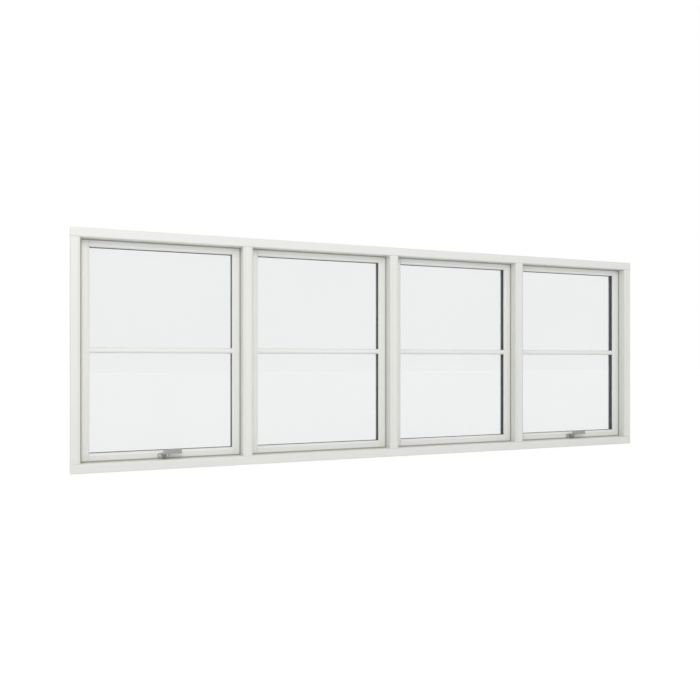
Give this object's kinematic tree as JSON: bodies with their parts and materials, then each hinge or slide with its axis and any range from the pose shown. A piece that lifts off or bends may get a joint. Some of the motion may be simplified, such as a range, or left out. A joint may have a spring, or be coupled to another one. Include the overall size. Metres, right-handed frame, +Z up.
{
  "type": "timber window with opening sashes",
  "caption": "Long white timber window: fixed middle lights between top-guided outward-opening sashes, each with a glazing bar and a cranked lever handle.",
  "frame": {"origin": "middle of the underside of the sill", "axes": "+X along the window to the right seen from the room, +Y to the outside, +Z up"},
  "size_m": [3.45, 0.115, 1.19],
  "materials": {
    "painted_frame": "satin white paint on timber",
    "painted_sash": "satin white paint on timber",
    "frame_gasket": "matt olive grey seal",
    "glazing_tape": "matt grey tape",
    "clear_glass": "clear float glass",
    "spacer_black": "matt black spacer",
    "handle_metal": "satin grey metal",
    "screw_steel": "bright zinc",
    "fitting_steel": "zinc plated steel",
    "shoe_nylon": "black nylon",
    "packer_plastic": "moulded plastic"
  },
  "bodies": {
    "frame": {"head": "painted_frame", "sill": "painted_frame", "left_jamb": "painted_frame", "right_jamb": "painted_frame", "left_mullion": "painted_frame", "centre_mullion": "painted_frame", "right_mullion": "painted_frame", "frame_gaskets": "frame_gasket", "guide_tracks": "fitting_steel", "stay_foot_plates": "fitting_steel", "lock_keeps": "fitting_steel", "sash_packers": "packer_plastic", "light_2_stiles": "painted_sash", "light_2_rails": "painted_sash", "light_2_glass_panes": "clear_glass", "light_2_spacer_frame": "spacer_black", "light_2_glazing_tapes": "glazing_tape", "light_2_outer_beads": "painted_sash", "light_2_glazing_bars": "painted_sash", "light_3_stiles": "painted_sash", "light_3_rails": "painted_sash", "light_3_glass_panes": "clear_glass", "light_3_spacer_frame": "spacer_black", "light_3_glazing_tapes": "glazing_tape", "light_3_outer_beads": "painted_sash", "light_3_glazing_bars": "painted_sash"},
    "arms_1": {"light_1_stay_arms": "fitting_steel"},
    "sash_1": {"light_1_stiles": "painted_sash", "light_1_rails": "painted_sash", "light_1_glass_panes": "clear_glass", "light_1_spacer_frame": "spacer_black", "light_1_glazing_tapes": "glazing_tape", "light_1_outer_beads": "painted_sash", "light_1_glazing_bars": "painted_sash", "light_1_rosette": "handle_metal", "light_1_rosette_screws": "screw_steel", "light_1_lock_case": "fitting_steel", "light_1_lock_faceplate": "fitting_steel", "light_1_sash_pivot_plates": "fitting_steel"},
    "handle_1": {"light_1_lever": "handle_metal", "light_1_spindle": "fitting_steel"},
    "lock_rod_1": {"light_1_drive_rod": "fitting_steel"},
    "shoes_1": {"light_1_guide_shoes": "shoe_nylon"},
    "arms_4": {"light_4_stay_arms": "fitting_steel"},
    "sash_4": {"light_4_stiles": "painted_sash", "light_4_rails": "painted_sash", "light_4_glass_panes": "clear_glass", "light_4_spacer_frame": "spacer_black", "light_4_glazing_tapes": "glazing_tape", "light_4_outer_beads": "painted_sash", "light_4_glazing_bars": "painted_sash", "light_4_rosette": "handle_metal", "light_4_rosette_screws": "screw_steel", "light_4_lock_case": "fitting_steel", "light_4_lock_faceplate": "fitting_steel", "light_4_sash_pivot_plates": "fitting_steel"},
    "handle_4": {"light_4_lever": "handle_metal", "light_4_spindle": "fitting_steel"},
    "lock_rod_4": {"light_4_drive_rod": "fitting_steel"},
    "shoes_4": {"light_4_guide_shoes": "shoe_nylon"}
  },
  "joints": [
    {"name": "light_1_open", "type": "hinge", "parent": "frame", "child": "arms_1", "pos_m": [-1.2795, 0.0365, 0.6265], "axis": [-1, 0, 0], "range_deg": [0, 45]},
    {"name": "light_1_sash_pivot", "type": "hinge", "parent": "arms_1", "child": "sash_1", "pos_m": [-1.2795, 0.0365, 0.8865], "axis": [1, 0, 0], "range_deg": [0, 90]},
    {"name": "light_1_shoe_pivot", "type": "hinge", "parent": "sash_1", "child": "shoes_1", "pos_m": [-1.2795, 0.0365, 1.1465], "axis": [-1, 0, 0], "range_deg": [0, 45]},
    {"name": "light_1_lever_turn", "type": "hinge", "parent": "sash_1", "child": "handle_1", "pos_m": [-1.2795, -0.02, 0.0635], "axis": [0, -1, 0], "range_deg": [0, 90]},
    {"name": "light_1_rod_slide", "type": "slide", "parent": "sash_1", "child": "lock_rod_1", "axis": [1, 0, 0], "range_m": [0, 0.01885]},
    {"name": "light_4_open", "type": "hinge", "parent": "frame", "child": "arms_4", "pos_m": [1.2795, 0.0365, 0.6265], "axis": [-1, 0, 0], "range_deg": [0, 45]},
    {"name": "light_4_sash_pivot", "type": "hinge", "parent": "arms_4", "child": "sash_4", "pos_m": [1.2795, 0.0365, 0.8865], "axis": [1, 0, 0], "range_deg": [0, 90]},
    {"name": "light_4_shoe_pivot", "type": "hinge", "parent": "sash_4", "child": "shoes_4", "pos_m": [1.2795, 0.0365, 1.1465], "axis": [-1, 0, 0], "range_deg": [0, 45]},
    {"name": "light_4_lever_turn", "type": "hinge", "parent": "sash_4", "child": "handle_4", "pos_m": [1.2795, -0.02, 0.0635], "axis": [0, -1, 0], "range_deg": [0, 90]},
    {"name": "light_4_rod_slide", "type": "slide", "parent": "sash_4", "child": "lock_rod_4", "axis": [1, 0, 0], "range_m": [0, 0.01885]}
  ],
  "couplings": [
    {"joint": "light_1_sash_pivot", "follows": "light_1_open", "ratio": 2},
    {"joint": "light_1_shoe_pivot", "follows": "light_1_open", "ratio": 1},
    {"joint": "light_1_rod_slide", "follows": "light_1_lever_turn", "m_per_rad": 0.012},
    {"joint": "light_4_sash_pivot", "follows": "light_4_open", "ratio": 2},
    {"joint": "light_4_shoe_pivot", "follows": "light_4_open", "ratio": 1},
    {"joint": "light_4_rod_slide", "follows": "light_4_lever_turn", "m_per_rad": 0.012}
  ]
}
